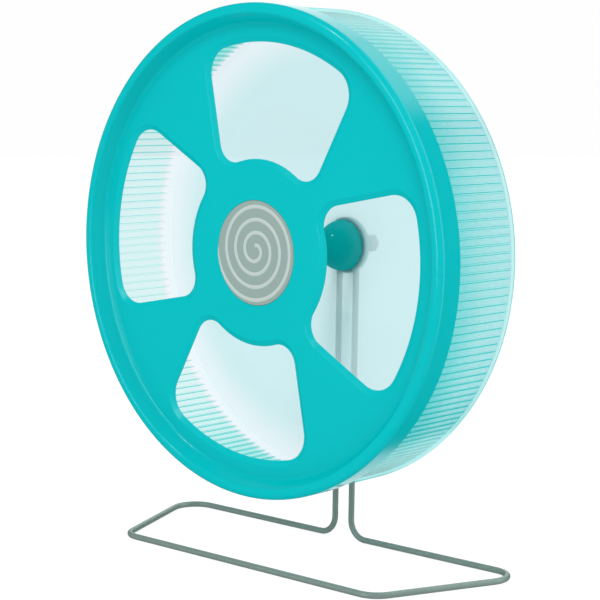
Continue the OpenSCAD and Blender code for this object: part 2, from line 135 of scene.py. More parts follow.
def face_outwards(piece):
    """Merges doubles and turns every normal outwards."""
    make_active(piece)
    bpy.ops.object.mode_set(mode="EDIT")
    bpy.ops.mesh.select_all(action="SELECT")
    bpy.ops.mesh.remove_doubles(threshold=0.002 * MM)
    bpy.ops.mesh.normals_make_consistent(inside=False)
    bpy.ops.object.mode_set(mode="OBJECT")


def smooth(piece, angle):
    """Smooth shading that keeps edges sharper than the angle."""
    make_active(piece)
    bpy.ops.object.shade_smooth_by_angle(angle=math.radians(angle))


# %% [markdown]
# ## Turning a profile by extruding a ring
#
# Wheel, drum, dome and holder are all round about the axle. Each starts as a
# circle primitive. The ring is extruded and scaled from one profile point to the
# next, as a potter would pull a wall, and the last ring is bridged to the first.
# A profile is a list of (radius, place along the axle), and `rounded` turns a
# corner into a short arc, as a mould maker would.

# %% Profile helpers
def rounded(a, b, c, radius, steps=6):
    """Points of an arc that rounds corner b between a and c, in (radius, along)."""
    a, b, c = (Vector((*p, 0)) for p in (a, b, c))
    u, v = (a - b).normalized(), (c - b).normalized()
    half = u.angle(v) / 2
    centre = b + (u + v).normalized() * radius / math.sin(half)
    start, end = b + u * radius / math.tan(half) - centre, b + v * radius / math.tan(half) - centre
    turn = math.atan2(start.cross(end).z, start.dot(end))
    points = []
    for i in range(steps + 1):
        arm = Matrix.Rotation(turn * i / steps, 3, "Z") @ start
        points.append(((centre + arm).x, (centre + arm).y))
    return points


def turned(name, profile, segments, closed=True, start_angle=0.0):
    """A piece that is round about the axle, pulled from ring to ring along its profile."""
    deselect_all()
    first_r, first_y = profile[0]
    bpy.ops.mesh.primitive_circle_add(
        vertices=segments, radius=first_r, location=(0, FACE_Y + first_y, AXLE_Z),
        rotation=(math.pi / 2, 0, 0)
    )
    piece = bpy.context.object
    piece.name = piece.data.name = name
    apply_place(piece)
    corner = piece.data.vertices[0].co
    now = math.atan2(corner.z - AXLE_Z, corner.x)
    bpy.ops.object.mode_set(mode="EDIT")
    bpy.ops.mesh.select_mode(type="VERT")
    bpy.ops.mesh.select_all(action="SELECT")
    middle = (0, FACE_Y + first_y, AXLE_Z)
    bpy.ops.transform.rotate(value=start_angle - now, orient_axis="Y", center_override=middle)
    for (r0, y0), (r1, y1) in zip(profile, profile[1:]):
        bpy.ops.mesh.extrude_region_move(TRANSFORM_OT_translate={"value": (0, y1 - y0, 0)})
        middle = (0, FACE_Y + y1, AXLE_Z)
        bpy.ops.transform.resize(value=(r1 / r0, 1, r1 / r0), center_override=middle)
    if closed:
        mesh = bmesh.from_edit_mesh(piece.data)
        ends = [e for e in mesh.edges if len(e.link_faces) == 1]
        chosen = {e.index for e in ends}
        select_where(piece, "edges", lambda e: e.index in chosen)
        bpy.ops.mesh.bridge_edge_loops()
    bpy.ops.object.mode_set(mode="OBJECT")
    return piece


# %% [markdown]
# ## Building blocks for materials
#
# A material is a graph of nodes, and a few kinds come back everywhere: a small sum,
# a share that rises between two values, a mix of two colours or two shaders, and a
# noise for clouds and grain. Each gets a helper, so that the finishes below read
# like a recipe. A value may be a plain number or colour, or another node's output.

# %% Node helpers
def empty_material(name):
    """A new material with nothing but its output node."""
    material = bpy.data.materials.new(name)
    material.use_nodes = True
    nodes, links = material.node_tree.nodes, material.node_tree.links
    nodes.clear()
    return material, nodes, links, nodes.new("ShaderNodeOutputMaterial")


def plug(links, value, socket):
    """Links an output to the socket, or writes a number or a colour on it."""
    if isinstance(value, bpy.types.NodeSocket):
        links.new(value, socket)
    elif isinstance(value, tuple):
        socket.default_value = (*value, 1)
    else:
        socket.default_value = value


def calculated(nodes, links, operation, *values):
    """The result of a Math node."""
    node = nodes.new("ShaderNodeMath")
    node.operation = operation
    for value, socket in zip(values, node.inputs):
        plug(links, value, socket)
    return node.outputs[0]


def rising(nodes, links, value, start, full, low=0.0, high=1.0, soft=False):
    """Goes from low to high while the value goes from start to full."""
    node = nodes.new("ShaderNodeMapRange")
    if soft:
        node.interpolation_type = "SMOOTHSTEP"
    node.inputs["From Min"].default_value = start
    node.inputs["From Max"].default_value = full
    node.inputs["To Min"].default_value = low
    node.inputs["To Max"].default_value = high
    links.new(value, node.inputs["Value"])
    return node.outputs["Result"]


# %% Mixes and noise
def mixed_colour(nodes, links, share, low, high):
    """A colour that goes from low to high with the share."""
    mix = nodes.new("ShaderNodeMix")
    mix.data_type = "RGBA"
    plug(links, share, mix.inputs["Factor"])
    plug(links, low, mix.inputs["A"])
    plug(links, high, mix.inputs["B"])
    return mix.outputs["Result"]


def mixed_shader(nodes, links, share, first, second):
    """A share of the second shader, and the first for the rest."""
    mix = nodes.new("ShaderNodeMixShader")
    plug(links, share, mix.inputs["Fac"])
    links.new(first.outputs[0], mix.inputs[1])
    links.new(second.outputs[0], mix.inputs[2])
    return mix


def noise(nodes, links, scale, detail=3, stretch=(1, 1, 1)):
    """Noise on object coordinates, stretched along the axes if asked."""
    place = nodes.new("ShaderNodeTexCoord")
    mapping = nodes.new("ShaderNodeMapping")
    mapping.inputs["Scale"].default_value = stretch
    texture = nodes.new("ShaderNodeTexNoise")
    texture.inputs["Scale"].default_value = scale
    texture.inputs["Detail"].default_value = detail
    links.new(place.outputs["Object"], mapping.inputs["Vector"])
    links.new(mapping.outputs["Vector"], texture.inputs["Vector"])
    return texture.outputs["Fac"]


def roughen(nodes, links, shader, height, strength, depth=0.1 * MM):
    """Gives a shader a bumpy normal from a height."""
    bump = nodes.new("ShaderNodeBump")
    bump.inputs["Strength"].default_value = strength
    bump.inputs["Distance"].default_value = depth
    links.new(height, bump.inputs["Height"])
    links.new(bump.outputs["Normal"], shader.inputs["Normal"])


# %% [markdown]
# ## The studio
#
# The photograph is a clean product picture: white ground, white surroundings and
# even, soft light. A big white sphere round everything gives the surroundings, and
# a flat board gives the floor. Both are left out of glossy reflections, so the
# turquoise stays deep instead of mirroring a white floor.

# %% Backdrop and floor
SURROUND_R = 8.0
SURROUND_GLOW = 0.99
FLOOR_SIZE = 15.0
FLOOR_GREY = 0.20
FLOOR_GLOW = 0.87


def board_material(name, grey, glow_strength):
    """White board: a matte surface plus a little glow, so that it stays near white."""
    paint, nodes, links, output = empty_material(name)
    paint.cycles.emission_sampling = "NONE"
    matte = nodes.new("ShaderNodeBsdfDiffuse")
    matte.inputs["Color"].default_value = (grey, grey, grey, 1)
    glow = nodes.new("ShaderNodeEmission")
    glow.inputs["Strength"].default_value = glow_strength
    both = nodes.new("ShaderNodeAddShader")
    links.new(matte.outputs[0], both.inputs[0])
    links.new(glow.outputs[0], both.inputs[1])
    links.new(both.outputs[0], output.inputs["Surface"])
    return paint


def make_studio():
    """A round white surround and a white floor, both left out of glossy reflections."""
    deselect_all()
    bpy.ops.mesh.primitive_uv_sphere_add(segments=64, ring_count=32, radius=SURROUND_R)
    surround = bpy.context.object
    surround.name = "studio_surround"
    surround.data.materials.append(board_material("surround_white", 0.0, SURROUND_GLOW))
    deselect_all()
    bpy.ops.mesh.primitive_plane_add(size=FLOOR_SIZE)
    floor = bpy.context.object
    floor.name = "studio_floor"
    floor.data.materials.append(board_material("floor_white", FLOOR_GREY, FLOOR_GLOW))
    for piece in (surround, floor):
        piece.visible_glossy = False
    surround.visible_shadow = False


make_studio()
print("studio: surround radius", SURROUND_R, "floor", FLOOR_SIZE)

# %% [markdown]
# The surround lights every side alike, which gives the flat, clean look. What the
# gloss sees is set apart from it, in the world, which matte surfaces don't see.
# Against black stand three wide glows behind the wheel (on the left, above, and low
# on the left), two small bright spots in front, and a tall band behind on the right.
# Seen from the camera, the flat face mirrors only black and stays deep, and the
# round edges catch a glow as thin bright lines.

# %% What the gloss sees
GLOWS = [
    # direction, where the glow starts and is full (as a cosine), strength
    ((-0.55, 0.75, 0.37), 0.90, 0.96, 1.3),
    ((-0.05, 0.72, 0.69), 0.93, 0.985, 1.3),
    ((-0.45, 0.73, -0.52), 0.95, 0.985, 1.0),
    ((-0.20, -0.97, 0.05), 0.978, 0.990, 3.4),
    ((-0.25, -0.93, 0.26), 0.978, 0.990, 2.8),
]
# For each side of the band: the axis, where it starts and where it is full
BAND = [("Y", 0.15, 0.35), ("Y", 0.68, 0.55), ("X", -0.10, 0.20), ("Z", -0.75, -0.10)]
BAND_STRENGTH = 1.8


def make_world():
    """A black world with the glows and the band, seen by gloss and not by matte surfaces."""
    world = bpy.data.worlds.new("studio")
    bpy.context.scene.world = world
    world.use_nodes = True
    world.cycles_visibility.diffuse = False
    nodes, links = world.node_tree.nodes, world.node_tree.links
    nodes.clear()
    output = nodes.new("ShaderNodeOutputWorld")
    sky = nodes.new("ShaderNodeBackground")
    sky.inputs["Color"].default_value = (1, 1, 1, 1)
    direction_seen = nodes.new("ShaderNodeTexCoord").outputs["Generated"]
    split = nodes.new("ShaderNodeSeparateXYZ")
    links.new(direction_seen, split.inputs[0])
    brightness = BAND_STRENGTH
    for axis, start, full in BAND:
        rise = rising(nodes, links, split.outputs[axis], start, full)
        brightness = calculated(nodes, links, "MULTIPLY", rise, brightness)
    for direction, start, full, strength in GLOWS:
        facing = nodes.new("ShaderNodeVectorMath")
        facing.operation = "DOT_PRODUCT"
        facing.inputs[1].default_value = Vector(direction).normalized()
        links.new(direction_seen, facing.inputs[0])
        glow = rising(nodes, links, facing.outputs["Value"], start, full, high=strength, soft=True)
        brightness = calculated(nodes, links, "MAXIMUM", brightness, glow)
    links.new(brightness, sky.inputs["Strength"])
    links.new(sky.outputs[0], output.inputs["Surface"])


make_world()
print("world:", len(GLOWS), "glows and one band")

# %% [markdown]
# Two lamps shape the form. A large soft box high on the right is the key light, and
# it's hidden from gloss so that it leaves no square highlight. A small lamp on the
# left is there to give round pieces a small highlight.

# %% Lamps
KEY_DISTANCE = 2.8
KEY_DIRECTION = (0.51, -0.60, 0.62)
KEY_SIZE, KEY_POWER = 1.4, 22
LEFT_PLACE = (-0.80, -1.90, 2.10)
LEFT_SIZE, LEFT_POWER = 0.30, 5


def soft_box(name, place, aim, size, power):
    """A square soft light that looks at a point."""
    lamp = bpy.data.lights.new(name, "AREA")
    lamp.shape = "RECTANGLE"
    lamp.size = lamp.size_y = size
    lamp.energy = power
    holder = bpy.data.objects.new(name, lamp)
    bpy.context.scene.collection.objects.link(holder)
    holder.location = place
    holder.rotation_mode = "QUATERNION"
    holder.rotation_quaternion = (Vector(aim) - Vector(place)).to_track_quat("-Z", "Y")
    return holder


middle = (0, 0, AXLE_Z)
key_place = Vector(middle) + KEY_DISTANCE * Vector(KEY_DIRECTION)
key = soft_box("key_upper_right", key_place, middle, KEY_SIZE, KEY_POWER)
key.visible_glossy = False
soft_box("lamp_left", LEFT_PLACE, middle, LEFT_SIZE, LEFT_POWER)
print("key light at", [round(v, 2) for v in key_place])

# %% [markdown]
# The camera stands to the right of the wheel's front and a little above it, far
# off with a long lens, as the nearly parallel lines of the photograph show.

# %% Camera
CAMERA_AZIMUTH = math.radians(42.91)
CAMERA_ELEVATION = math.radians(6.48)
CAMERA_PLACE = Vector((0.67593, -0.73502, 0.26223))
LENS_MM = 102.67
SENSOR_MM = 36


def make_camera():
    """The camera at the photograph's angle."""
    camera = bpy.data.objects.new("camera", bpy.data.cameras.new("camera"))
    bpy.context.scene.collection.objects.link(camera)
    camera.data.lens = LENS_MM
    camera.data.sensor_width = SENSOR_MM
    camera.location = CAMERA_PLACE
    ahead = Vector((
        -math.sin(CAMERA_AZIMUTH) * math.cos(CAMERA_ELEVATION),
        math.cos(CAMERA_AZIMUTH) * math.cos(CAMERA_ELEVATION),
        -math.sin(CAMERA_ELEVATION),
    ))
    camera.rotation_mode = "QUATERNION"
    camera.rotation_quaternion = ahead.to_track_quat("-Z", "Y")
    bpy.context.scene.camera = camera


make_camera()
print("camera:", round(CAMERA_PLACE.length, 3), "m from the origin")

# %% [markdown]
# A ray through the drum passes many clear walls, and each pass counts as a bounce.
# With too few allowed, the far ribs would turn black. The Standard view keeps
# white as white.

# %% Light paths
scene = bpy.context.scene
scene.view_settings.view_transform = "Standard"
scene.cycles.transparent_max_bounces = 24
scene.cycles.max_bounces = 16
scene.cycles.transmission_bounces = 14
print("clear walls that a ray may pass:", scene.cycles.transparent_max_bounces)

# %% [markdown]
# ## Plastic, from pellets to a moulding
#
# An injection moulding is never one flat colour. The melt flows from its gate and
# leaves faint broad clouds, the tool leaves a very fine grain, and handling adds
# hair-thin scuffs that only show in the gloss. One function makes such a material
# and each part of the wheel sets its colour and gloss.

# %% Opaque plastic
CLOUD_SCALE = 9
SCUFF_SCALE, SCUFF_DETAIL, SCUFF_STRETCH = 260, 5, (1, 0.25, 1)
SCUFF_FROM, SCUFF_TO, SCUFF_ROUGHNESS = 0.3, 0.8, 0.06
TOOL_GRAIN_SCALE, TOOL_GRAIN = 1800, 0.04


def principled_material(name):
    """A new material with its Principled shader."""
    material = bpy.data.materials.new(name)
    material.use_nodes = True
    nodes = material.node_tree.nodes
    return material, nodes, material.node_tree.links, nodes["Principled BSDF"]


def moulded_plastic(name, low, high, roughness, specular):
    """An opaque moulded plastic with clouded colour, fine tool grain and faint scuffs."""
    material, nodes, links, shader = principled_material(name)
    clouds = noise(nodes, links, CLOUD_SCALE)
    links.new(mixed_colour(nodes, links, clouds, low, high), shader.inputs["Base Color"])
    scuffs = noise(nodes, links, SCUFF_SCALE, SCUFF_DETAIL, SCUFF_STRETCH)
    rough = rising(nodes, links, scuffs, SCUFF_FROM, SCUFF_TO, roughness, roughness + SCUFF_ROUGHNESS)
    links.new(rough, shader.inputs["Roughness"])
    shader.inputs["Specular IOR Level"].default_value = specular
    roughen(nodes, links, shader, noise(nodes, links, TOOL_GRAIN_SCALE, 2), TOOL_GRAIN)
    return material


turquoise = moulded_plastic("turquoise_moulding", (0.0, 0.44, 0.46), (0.0, 0.46, 0.485), 0.12, 0.35)
badge_grey = moulded_plastic("badge_grey", (0.255, 0.345, 0.32), (0.275, 0.365, 0.34), 0.35, 0.3)
badge_line = moulded_plastic("badge_line", (0.44, 0.52, 0.49), (0.46, 0.54, 0.51), 0.35, 0.3)
print("opaque plastics:", turquoise.name, badge_grey.name, badge_line.name)

# %% [markdown]
# The hub's dome and the holder behind it are deep teal right up to their edges. A
# plain mix with a fixed share of gloss keeps that, because a mirror share that
# rises at the edges would wash the colour out. The holder also lets some light
# through, as thin coloured mouldings do.

# %% Deep teal
TEAL_CLOUD_SCALE = 14
TEAL_ROUGHNESS = 0.08
TEAL_GLOSS_SHARE = 0.03
SKIN_GRAIN_SCALE, SKIN_GRAIN = 900, 0.05


def deep_plastic(name, low, high, through):
    """A deep-coloured moulding: a fixed share of gloss, and a share of light let through."""
    material, nodes, links, output = empty_material(name)
    clouds = noise(nodes, links, TEAL_CLOUD_SCALE)
    colour = mixed_colour(nodes, links, clouds, low, high)
    matte = nodes.new("ShaderNodeBsdfDiffuse")
    links.new(colour, matte.inputs["Color"])
    glowing = nodes.new("ShaderNodeBsdfTranslucent")
    links.new(colour, glowing.inputs["Color"])
    gloss = nodes.new("ShaderNodeBsdfGlossy")
    gloss.inputs["Roughness"].default_value = TEAL_ROUGHNESS
    roughen(nodes, links, gloss, noise(nodes, links, SKIN_GRAIN_SCALE), SKIN_GRAIN)
    body = mixed_shader(nodes, links, through, matte, glowing)
    skin = mixed_shader(nodes, links, TEAL_GLOSS_SHARE, body, gloss)
    links.new(skin.outputs[0], output.inputs["Surface"])
    return material


dark_teal = deep_plastic("dark_teal_moulding", (0.0, 0.38, 0.375), (0.0, 0.41, 0.405), 0.0)
mid_teal = deep_plastic("teal_moulding", (0.0, 0.50, 0.50), (0.0, 0.54, 0.54), 0.35)
print("deep plastics:", dark_teal.name, mid_teal.name)

# %% [markdown]
# ## The drum's mint plastic
#
# The drum is clear polymer with a little mint dye. A glass shader would bend the
# light at each of its many thin walls and darken it, so each surface is a mix of a
# Transparent shader, which only tints, and a Translucent one, which scatters like
# frost. The running wall is mostly clear and shows its ribs crisply. The outside of
# the back wall scatters most of the light, so what stands behind it is veiled.
#
# The tint stands in for the way that light runs through the dye where a wall is seen
# edge on, and it deepens there. On the running wall it also deepens near the panel.
# Past the ribs' ends it turns pale, as a painted light band on the rear round. The
# inside of the running wall is painted darker where it faces the viewer, as painted
# shade. The ribs' sides are deepest face on, so that each rib draws a line. On the
# back wall the tint follows the distance from the axle. It is paler towards the rim, as
# painted light, and deeper towards the hub, as painted shade. These places and colours
# were chosen to look like the photograph, and aren't measured from a drum.

# %% Shares by place
NEAR_FROM, NEAR_TO = 33 * MM, 6 * MM
LIGHT_BAND_FROM, LIGHT_BAND_TO = 52 * MM, 57 * MM
HUB_SHADE_FROM, HUB_SHADE_TO = 134 * MM, 108 * MM


def along_axle(nodes, links, start, full):
    """A share that goes from 0 to 1 between two places along the axle."""
    place = nodes.new("ShaderNodeTexCoord")
    split = nodes.new("ShaderNodeSeparateXYZ")
    links.new(place.outputs["Object"], split.inputs[0])
    return rising(nodes, links, split.outputs["Y"], FACE_Y + start, FACE_Y + full)


def painted_shade_towards_hub(nodes, links):
    """A share of painted shade that rises from the rim towards the hub, by the distance from the axle.
    """
    place = nodes.new("ShaderNodeTexCoord")
    arm = nodes.new("ShaderNodeVectorMath")
    arm.operation = "MULTIPLY_ADD"
    arm.inputs[1].default_value = (1, 0, 1)
    arm.inputs[2].default_value = (0, 0, -AXLE_Z)
    links.new(place.outputs["Object"], arm.inputs[0])
    reach = nodes.new("ShaderNodeVectorMath")
    reach.operation = "LENGTH"
    links.new(arm.outputs["Vector"], reach.inputs[0])
    return rising(nodes, links, reach.outputs["Value"], HUB_SHADE_FROM, HUB_SHADE_TO, soft=True)


# %% Share by edge
EDGE_BLEND = 0.35
DYE_CLOUD_SCALE, DYE_CLOUDS = 7, 0.08


def edge_on_share(nodes, links, ramp, near_panel):
    """A share that rises where a wall is seen edge on, and near the panel if asked."""
    facing = nodes.new("ShaderNodeLayerWeight")
    facing.inputs["Blend"].default_value = EDGE_BLEND
    clouds = noise(nodes, links, DYE_CLOUD_SCALE)
    depth = calculated(nodes, links, "MULTIPLY_ADD", clouds, DYE_CLOUDS, facing.outputs["Facing"])
    if near_panel:
        near = along_axle(nodes, links, NEAR_FROM, NEAR_TO)
        depth = calculated(nodes, links, "MULTIPLY_ADD", near, near_panel, depth)
    return rising(nodes, links, depth, *ramp, soft=True)


# %% [markdown]
# A wall mirrors light on both of its sides, and one is enough for the look, so the
# gloss is left off where a surface is seen from behind. It's capped too. At a low
# angle the wall would mirror the dark world fully, and show a dark streak.

# %% Translucent mint
# The pale colour of the painted light band on the rear round, past the ribs' ends
PAINTED_LIGHT_BAND = (0.90, 0.945, 0.97)
MINT_ROUGHNESS = 0.14
MINT_IOR = 1.45
GLOSS_CAP = 0.35


def mint_skin(nodes, links, body, from_behind):
    """Lays a thin gloss on the plastic, on the side that faces the viewer."""
    gloss = nodes.new("ShaderNodeBsdfGlossy")
    gloss.inputs["Roughness"].default_value = MINT_ROUGHNESS
    roughen(nodes, links, gloss, noise(nodes, links, SKIN_GRAIN_SCALE), SKIN_GRAIN)
    mirrored = nodes.new("ShaderNodeFresnel")
    mirrored.inputs["IOR"].default_value = MINT_IOR
    capped = calculated(nodes, links, "MINIMUM", mirrored.outputs[0], GLOSS_CAP)
    outside = calculated(nodes, links, "SUBTRACT", 1.0, from_behind)
    share = calculated(nodes, links, "MULTIPLY", capped, outside)
    return mixed_shader(nodes, links, share, body, gloss)


def translucent_mint(
    name, face_on, edge_on, haze, ramp=None, near_panel=0.0, behind=None, light_band_past_ribs=False,
    light_band_seen_inside=False
):
    """Dyed plastic that scatters a share (haze). With no ramp, its tint follows the radius as painted
    light and shade. It can also carry a painted light band past the ribs.
    """
    material, nodes, links, output = empty_material(name)
    from_behind = nodes.new("ShaderNodeNewGeometry").outputs["Backfacing"]
    # Without a ramp, the share is painted shade that deepens the back wall towards the hub
    share = edge_on_share(nodes, links, ramp, near_panel) if ramp else painted_shade_towards_hub(nodes, links)
    tint = mixed_colour(nodes, links, share, face_on, edge_on)
    # Past the ribs' ends the tint turns into a painted light band on the rear round
    past_ribs = along_axle(nodes, links, LIGHT_BAND_FROM, LIGHT_BAND_TO)
    if light_band_seen_inside:
        seen_inside = calculated(nodes, links, "MULTIPLY", past_ribs, from_behind)
        tint = mixed_colour(nodes, links, seen_inside, tint, PAINTED_LIGHT_BAND)
    if light_band_past_ribs:
        tint = mixed_colour(nodes, links, past_ribs, tint, PAINTED_LIGHT_BAND)
    if behind:
        tint = mixed_colour(nodes, links, from_behind, tint, behind)
    milk = nodes.new("ShaderNodeBsdfTranslucent")
    links.new(tint, milk.inputs["Color"])
    clear = nodes.new("ShaderNodeBsdfTransparent")
    links.new(tint, clear.inputs["Color"])
    body = mixed_shader(nodes, links, haze, clear, milk)
    skin = mint_skin(nodes, links, body, from_behind)
    links.new(skin.outputs[0], output.inputs["Surface"])
    return material


# %% Mint finishes
# The back wall is painted paler towards its rim, as painted light, and deeper towards the hub, as
# painted shade
BACK_PALE, BACK_PAINTED_SHADE = (0.89, 0.95, 0.97), (0.79, 0.92, 0.933)
mint_outer = translucent_mint(
    "mint_outer", (0.68, 0.985, 0.975), (0.30, 0.90, 0.88), 0.12, (0.36, 0.85),
    near_panel=0.36, light_band_seen_inside=True
)
# Its face-on colour is painted shade: the inside of the running wall is darker where it faces the
# viewer, and pale where it is seen from behind
mint_inner = translucent_mint(
    "mint_inner", (0.99, 0.86, 0.88), (0.40, 0.80, 0.78), 0.12, (0.26, 0.60),
    behind=(0.95, 0.985, 0.985), light_band_past_ribs=True
)
mint_back_in = translucent_mint("mint_back_in", BACK_PALE, BACK_PAINTED_SHADE, 0.10)
mint_back_out = translucent_mint("mint_back_out", BACK_PALE, BACK_PAINTED_SHADE, 0.66)
mint_edge = translucent_mint(
    "mint_edge", (0.88, 0.955, 0.975), (0.20, 0.72, 0.68), 0.20, (0.40, 0.85)
)
mint_rib_side = translucent_mint(
    "mint_rib_side", (0.25, 0.74, 0.72), (0.84, 0.93, 0.93), 0.3, (0.30, 0.70),
    behind=(0.06, 0.85, 0.83), light_band_past_ribs=True
)
clear_plate = translucent_mint(
    "clear_plate", (0.93, 0.97, 0.97), (0.05, 0.30, 0.30), 0.2, (0.40, 0.70)
)
print("mint finishes: six for the drum, and", clear_plate.name)

# %% [markdown]
# ## Steel and brass
#
# A lathe leaves fine rings round a pin. Noise that is squeezed along the axle gives
# them, in the colour and in a slight bump. The wire bends in all directions, so its
# noise isn't squeezed. The metals are only partly metallic, because a full metal
# shows its surroundings and nothing else, and the dark world would turn it black.

# %% Steel and brass
LINE_SCALE, LINE_DETAIL = 220, 4
LINE_BUMP, LINE_DEPTH = 0.08, 0.05 * MM


def turned_metal(name, low, high, roughness, metallic, stretch=(1, 12, 1)):
    """A metal with fine drawn or turned lines."""
    material, nodes, links, shader = principled_material(name)
    lines = noise(nodes, links, LINE_SCALE, LINE_DETAIL, stretch)
    links.new(mixed_colour(nodes, links, lines, low, high), shader.inputs["Base Color"])
    shader.inputs["Metallic"].default_value = metallic
    shader.inputs["Roughness"].default_value = roughness
    roughen(nodes, links, shader, lines, LINE_BUMP, LINE_DEPTH)
    return material


wire_steel = turned_metal("drawn_wire", (0.20, 0.285, 0.255), (0.26, 0.35, 0.32), 0.42, 0.3, (1, 1, 1))
bright_steel = turned_metal("bright_steel", (0.50, 0.51, 0.53), (0.62, 0.63, 0.65), 0.30, 0.5)
bearing_steel = turned_metal("bearing_steel", (0.52, 0.53, 0.55), (0.64, 0.65, 0.67), 0.20, 0.5)
cage_brass = turned_metal("cage_brass", (0.55, 0.40, 0.16), (0.65, 0.48, 0.20), 0.30, 0.5)
print("metals:", wire_steel.name, bright_steel.name, bearing_steel.name, cage_brass.name)

# %% [markdown]
# ## The front panel
#
# The panel is one moulding: a flat web with four windows, and a raised hollow rim
# whose skirt grips the drum. The rim is turned from its profile. The web is flat,
# so its front and back are filled between the rim's edge and the window loops.
# Round each window the web rolls back in a lip, which is a stack of rings that
# follow the same outline, each a little tighter and deeper than the last.

# %% Window outline
LOBE_R = 12 * MM
LOBE_ANGLE = math.radians(25.2)
SIDE_SPLAY = math.radians(20)
CORNER_R = 15 * MM
LOBE_C = WINDOW_INNER_R + LOBE_R
CORNER_C = WINDOW_OUTER_R - CORNER_R
CORNER_ANGLE = SIDE_SPLAY + math.asin(
    (LOBE_C * math.sin(LOBE_ANGLE - SIDE_SPLAY) + LOBE_R - CORNER_R) / CORNER_C
)
# The corner's arc starts, and the lobe's arc ends, a little short, so no points coincide
CORNER_GAP, LOBE_GAP = 0.1, 0.12
OUTER_STEPS, CORNER_STEPS, LOBE_STEPS, INNER_STEPS = 18, 13, 17, 15


def turn_by(angle):
    """A turn as a complex number, so that a product turns a point."""
    return complex(math.cos(angle), math.sin(angle))


def arc(centre, radius, start, end, steps):
    """Points of an arc, as complex numbers: real is out from the axle, imaginary is across."""
    return [centre + radius * turn_by(start + (end - start) * i / steps) for i in range(steps + 1)]


def window_loop(grow, along, turn):
    """One closed loop round a window, moved outwards by grow, as points in the frame."""
    side = SIDE_SPLAY + math.pi / 2
    corner, lobe = CORNER_C * turn_by(CORNER_ANGLE), LOBE_C * turn_by(LOBE_ANGLE)
    upper = (
        arc(0, WINDOW_OUTER_R + grow, 0, CORNER_ANGLE, OUTER_STEPS)
        + arc(corner, CORNER_R + grow, CORNER_ANGLE + CORNER_GAP, side, CORNER_STEPS)
        + arc(lobe, LOBE_R + grow, side, LOBE_ANGLE + math.pi - LOBE_GAP, LOBE_STEPS)
        + arc(0, WINDOW_INNER_R - grow, LOBE_ANGLE, 0, INNER_STEPS)
    )
    loop = upper + [p.conjugate() for p in reversed(upper[1:-1])]
    placed = [p * turn_by(turn) for p in loop]
    return [Vector((p.real, FACE_Y + along, AXLE_Z + p.imag)) for p in placed]


print("a window's corner stands at", round(math.degrees(CORNER_ANGLE), 1), "degrees from its middle")

# %% [markdown]
# Each lip is modelled from a circle primitive with as many corners as the outline
# has. The circle's corners are set on the first loop, then the ring is extruded
# again and again, and each new ring is moved onto the next loop.

# %% Window lips
LIP_W = 3.2 * MM
LIP_DEPTH = 1.5 * MM
LIP_LAND = LIP_W + 0.5 * MM
LIP_FRONT_ROUND, LIP_BACK_ROUND = 0.9 * MM, 0.4 * MM
front_round = rounded((LIP_LAND, 0), (LIP_W, 0), (0, LIP_DEPTH), LIP_FRONT_ROUND, 4)
back_round = rounded((LIP_W, 0), (0, LIP_DEPTH), (0, PANEL_T), LIP_BACK_ROUND, 4)
# Each level is a place along the axle and how far outside the window it lies
lip_levels = [(0.0, LIP_LAND)]
lip_levels += [(y, grow) for grow, y in front_round + back_round]
lip_levels += [(PANEL_T - 0.25 * MM, 0.0), (PANEL_T - 0.07 * MM, 0.07 * MM), (PANEL_T, 0.25 * MM)]


def window_lip(index):
    """The rolled lip round one window, ring by ring."""
    turn = WINDOW_TURN + index * 2 * math.pi / WINDOW_COUNT
    loops = [window_loop(grow, along, turn) for along, grow in lip_levels]
    corners = len(loops[0])
    deselect_all()
    bpy.ops.mesh.primitive_circle_add(vertices=corners, radius=0.05)
    lip = bpy.context.object
    bpy.ops.object.mode_set(mode="EDIT")
    for _ in loops[1:]:
        bpy.ops.mesh.extrude_region_move(TRANSFORM_OT_translate={"value": (0, 0, MM)})
    bpy.ops.object.mode_set(mode="OBJECT")
    apply_place(lip)
    for ring, loop in enumerate(loops):
        for corner, point in enumerate(loop):
            lip.data.vertices[ring * corners + corner].co = point
    return lip


lips = [window_lip(i) for i in range(WINDOW_COUNT)]
print("window lips:", len(lips), "with", len(lips[0].data.vertices), "points each")

# %% [markdown]
# The rim stands up from the web by a slope, carries a nearly flat crest, and comes
# down outside as a skirt that covers the drum's front edge. It is hollow behind, as
# a moulding has to be, so that its walls cool evenly. The round edges matter most
# for the look, because each one draws a bright line.

# %% Rim
WEB_R = CREASE_R - 3.0 * MM
SKIRT_IN_R = WHEEL_R - SKIRT_T
CREST_FALL = 0.3 * MM
RIM_FOOT_ROUND, RIM_EDGE_R, RIM_OUTER_ROUND = 2.8 * MM, 2.0 * MM, 3.4 * MM
SKIRT_END_ROUND, SKIRT_MOUTH_ROUND = 0.45 * MM, 0.3 * MM
BACK_FOOT_ROUND = 0.6 * MM
RIM_SEGMENTS = 256
slope = math.atan2(CREST_R - CREASE_R, RIM_RISE)
slope_back = PANEL_T / math.cos(slope) - PANEL_T * math.tan(slope)
crease, crest, outer = (CREASE_R, 0), (CREST_R, -RIM_RISE), (WHEEL_R, -RIM_RISE + CREST_FALL)
skirt_end, skirt_mouth = (WHEEL_R, SKIRT_BACK), (SKIRT_IN_R, SKIRT_BACK)
hollow = (SKIRT_IN_R, -RIM_RISE + PANEL_T)
back_crest = (CREST_R + slope_back, -RIM_RISE + PANEL_T)
back_foot = (CREASE_R + slope_back, PANEL_T)
